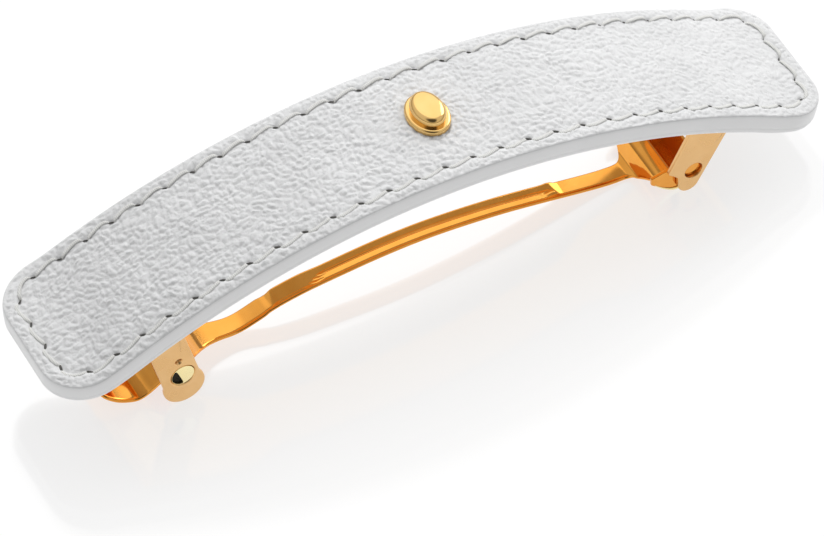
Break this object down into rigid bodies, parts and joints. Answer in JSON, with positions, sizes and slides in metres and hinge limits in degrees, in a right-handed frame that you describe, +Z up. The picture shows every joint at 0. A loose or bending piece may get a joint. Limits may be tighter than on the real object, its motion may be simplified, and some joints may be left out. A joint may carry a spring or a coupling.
{
  "type": "hair clip",
  "caption": "Arched leather-covered barrette with a small gold stud, a stitched edge and a hinged metal locking bar that snaps between sprung ears to hold hair.",
  "frame": {"origin": "centre of the bounding box in plan, on the surface that the ears stand on", "axes": "+X along the strap to the hinge end, +Z up out of the leather face, -Y the front long edge"},
  "size_m": [0.0954, 0.0184, 0.0241],
  "materials": {
    "leather_top": "fine pebble grain",
    "leather_under": "smooth",
    "gold_stud": "polished gold plate",
    "gold_metal": "polished gold plate"
  },
  "bodies": {
    "strap": {"leather_face": "leather_top", "leather_lining": "leather_under", "ornament": "gold_stud", "base_plate": "gold_metal", "clasp_spring": "gold_metal"},
    "bar": {"locking_bar": "gold_metal"}
  },
  "joints": [
    {"name": "bar_hinge", "type": "hinge", "parent": "strap", "child": "bar", "pos_m": [0.0318, -0.0005, 0.00303], "axis": [0, -1, 0], "range_deg": [0, 90]}
  ]
}
